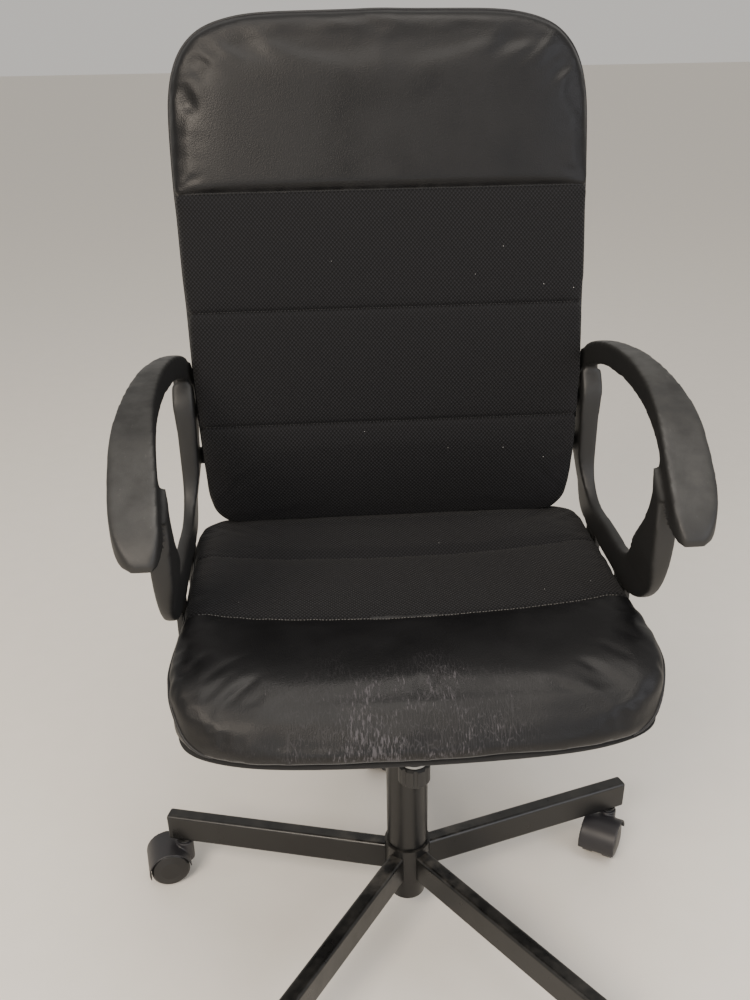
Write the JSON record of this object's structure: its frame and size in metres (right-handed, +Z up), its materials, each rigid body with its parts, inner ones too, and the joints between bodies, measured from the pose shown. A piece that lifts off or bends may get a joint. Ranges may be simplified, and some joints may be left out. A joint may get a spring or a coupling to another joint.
{
  "type": "swivel office chair",
  "caption": "High-back swivel office chair with moulded loop armrests, padded mesh and coated-fabric upholstery, gas lift and a five-star steel base on hooded castors.",
  "frame": {"origin": "on the floor, on the swivel axis", "axes": "+Z up along the swivel axis; -Y the way the sitter faces; +X the sitter's left"},
  "size_m": [0.6527, 0.6315, 1.0505],
  "materials": {
    "black_steel": "black powder coat, semi-gloss",
    "black_nylon": "dark grey moulded nylon",
    "wheel_nylon": "black nylon, worn satin",
    "zinc_steel": "bright zinc plate",
    "ground_steel": "ground and polished",
    "spring_steel": "oiled black",
    "plywood": "raw moulded plywood",
    "faux_leather": "black grained coated fabric, worn at the front",
    "mesh_fabric": "black spacer mesh",
    "lining_cloth": "black woven lining",
    "arm_plastic": "fine-textured dark grey polypropylene"
  },
  "bodies": {
    "base": {"base_hub": "black_steel", "base_leg_1": "black_steel", "base_leg_2": "black_steel", "base_leg_3": "black_steel", "base_leg_4": "black_steel", "base_leg_5": "black_steel", "leg_end_caps": "black_nylon", "castor_sockets": "black_nylon", "column_tube": "black_steel", "guide_bush": "black_nylon"},
    "lift_rod": {"piston_rod": "ground_steel", "thrust_bearing": "zinc_steel", "column_clip": "zinc_steel"},
    "lift": {"gas_cylinder": "black_steel", "mechanism_housing": "black_steel", "tilt_axle": "zinc_steel", "tilt_spring": "spring_steel"},
    "release_button": {"release_pin": "zinc_steel"},
    "seat": {"seat_plate": "black_steel", "seat_plate_bolts": "zinc_steel", "seat_board": "plywood", "seat_cushion": "mesh_fabric", "seat_dust_cover": "lining_cloth", "back_board": "plywood", "back_cushion": "mesh_fabric", "back_rear_cover": "faux_leather", "armrest_left": "arm_plastic", "armrest_right": "arm_plastic", "arm_bolts": "zinc_steel", "tension_bolt": "zinc_steel"},
    "tension_carrier": {"spring_washer": "zinc_steel"},
    "tension_handwheel": {"tension_knob": "black_nylon"},
    "lever": {"lever_bracket": "zinc_steel", "height_lever": "zinc_steel", "lever_grip": "black_nylon"},
    "castor_1": {"castor_hood_1": "black_nylon", "castor_stem_1": "zinc_steel", "castor_axle_1": "zinc_steel"},
    "wheel_left_1": {"castor_wheel_left_1": "wheel_nylon"},
    "wheel_right_1": {"castor_wheel_right_1": "wheel_nylon"},
    "castor_2": {"castor_hood_2": "black_nylon", "castor_stem_2": "zinc_steel", "castor_axle_2": "zinc_steel"},
    "wheel_left_2": {"castor_wheel_left_2": "wheel_nylon"},
    "wheel_right_2": {"castor_wheel_right_2": "wheel_nylon"},
    "castor_3": {"castor_hood_3": "black_nylon", "castor_stem_3": "zinc_steel", "castor_axle_3": "zinc_steel"},
    "wheel_left_3": {"castor_wheel_left_3": "wheel_nylon"},
    "wheel_right_3": {"castor_wheel_right_3": "wheel_nylon"},
    "castor_4": {"castor_hood_4": "black_nylon", "castor_stem_4": "zinc_steel", "castor_axle_4": "zinc_steel"},
    "wheel_left_4": {"castor_wheel_left_4": "wheel_nylon"},
    "wheel_right_4": {"castor_wheel_right_4": "wheel_nylon"},
    "castor_5": {"castor_hood_5": "black_nylon", "castor_stem_5": "zinc_steel", "castor_axle_5": "zinc_steel"},
    "wheel_left_5": {"castor_wheel_left_5": "wheel_nylon"},
    "wheel_right_5": {"castor_wheel_right_5": "wheel_nylon"}
  },
  "joints": [
    {"name": "seat_swivel", "type": "hinge", "parent": "base", "child": "lift_rod", "pos_m": [0, 0, 0.2], "axis": [0, 0, 1], "continuous": true},
    {"name": "seat_height", "type": "slide", "parent": "lift_rod", "child": "lift", "axis": [0, 0, 1], "range_m": [-0.018, 0.112]},
    {"name": "seat_tilt", "type": "hinge", "parent": "lift", "child": "seat", "pos_m": [0, -0.045, 0.352], "axis": [-1, 0, 0], "range_deg": [0, 10], "stiffness_Nm_per_rad": 80, "springref_deg": -28.65, "deforming": ["tilt_spring"]},
    {"name": "tension_travel", "type": "slide", "parent": "seat", "child": "tension_carrier", "axis": [0, 0, 1], "range_m": [0, 0.005], "deforming": ["tilt_spring"]},
    {"name": "tension_turn", "type": "hinge", "parent": "tension_carrier", "child": "tension_handwheel", "pos_m": [0, -0.08, 0.285], "axis": [0, 0, 1], "range_deg": [0, 1440]},
    {"name": "lever_lift", "type": "hinge", "parent": "lift", "child": "lever", "pos_m": [-0.025, 0, 0.3745], "axis": [0, 1, 0], "range_deg": [0, 6], "stiffness_Nm_per_rad": 2, "springref_deg": -11.46},
    {"name": "button_press", "type": "slide", "parent": "lift", "child": "release_button", "axis": [0, 0, -1], "range_m": [0, 0.003]},
    {"name": "castor_swivel_1", "type": "hinge", "parent": "base", "child": "castor_1", "pos_m": [0.28572, 0.09782, 0.06], "axis": [0, 0, 1], "continuous": true},
    {"name": "wheel_left_roll_1", "type": "hinge", "parent": "castor_1", "child": "wheel_left_1", "pos_m": [0.27353, 0.07832, 0.025], "axis": [0.848, -0.5299, 0], "continuous": true},
    {"name": "wheel_right_roll_1", "type": "hinge", "parent": "castor_1", "child": "wheel_right_1", "pos_m": [0.27353, 0.07832, 0.025], "axis": [0.848, -0.5299, 0], "continuous": true},
    {"name": "castor_swivel_2", "type": "hinge", "parent": "base", "child": "castor_2", "pos_m": [-0.00474, 0.30196, 0.06], "axis": [0, 0, 1], "continuous": true},
    {"name": "wheel_left_roll_2", "type": "hinge", "parent": "castor_2", "child": "wheel_left_2", "pos_m": [-0.01261, 0.28035, 0.025], "axis": [0.9397, -0.342, 0], "continuous": true},
    {"name": "wheel_right_roll_2", "type": "hinge", "parent": "castor_2", "child": "wheel_right_2", "pos_m": [-0.01261, 0.28035, 0.025], "axis": [0.9397, -0.342, 0], "continuous": true},
    {"name": "castor_swivel_3", "type": "hinge", "parent": "base", "child": "castor_3", "pos_m": [-0.28865, 0.0888, 0.06], "axis": [0, 0, 1], "continuous": true},
    {"name": "wheel_left_roll_3", "type": "hinge", "parent": "castor_3", "child": "wheel_left_3", "pos_m": [-0.31115, 0.08402, 0.025], "axis": [0.2079, -0.9781, 0], "continuous": true},
    {"name": "wheel_right_roll_3", "type": "hinge", "parent": "castor_3", "child": "wheel_right_3", "pos_m": [-0.31115, 0.08402, 0.025], "axis": [0.2079, -0.9781, 0], "continuous": true},
    {"name": "castor_swivel_4", "type": "hinge", "parent": "base", "child": "castor_4", "pos_m": [-0.17365, -0.24708, 0.06], "axis": [0, 0, 1], "continuous": true},
    {"name": "wheel_left_roll_4", "type": "hinge", "parent": "castor_4", "child": "wheel_left_4", "pos_m": [-0.19526, -0.23922, 0.025], "axis": [-0.342, -0.9397, 0], "continuous": true},
    {"name": "wheel_right_roll_4", "type": "hinge", "parent": "castor_4", "child": "wheel_right_4", "pos_m": [-0.19526, -0.23922, 0.025], "axis": [-0.342, -0.9397, 0], "continuous": true},
    {"name": "castor_swivel_5", "type": "hinge", "parent": "base", "child": "castor_5", "pos_m": [0.18133, -0.2415, 0.06], "axis": [0, 0, 1], "continuous": true},
    {"name": "wheel_left_roll_5", "type": "hinge", "parent": "castor_5", "child": "wheel_left_5", "pos_m": [0.15971, -0.24937, 0.025], "axis": [0.342, -0.9397, 0], "continuous": true},
    {"name": "wheel_right_roll_5", "type": "hinge", "parent": "castor_5", "child": "wheel_right_5", "pos_m": [0.15971, -0.24937, 0.025], "axis": [0.342, -0.9397, 0], "continuous": true}
  ],
  "couplings": [
    {"joint": "button_press", "follows": "lever_lift", "m_per_rad": 0.025},
    {"joint": "tension_travel", "follows": "tension_turn", "m_per_rad": 0.00019894}
  ]
}
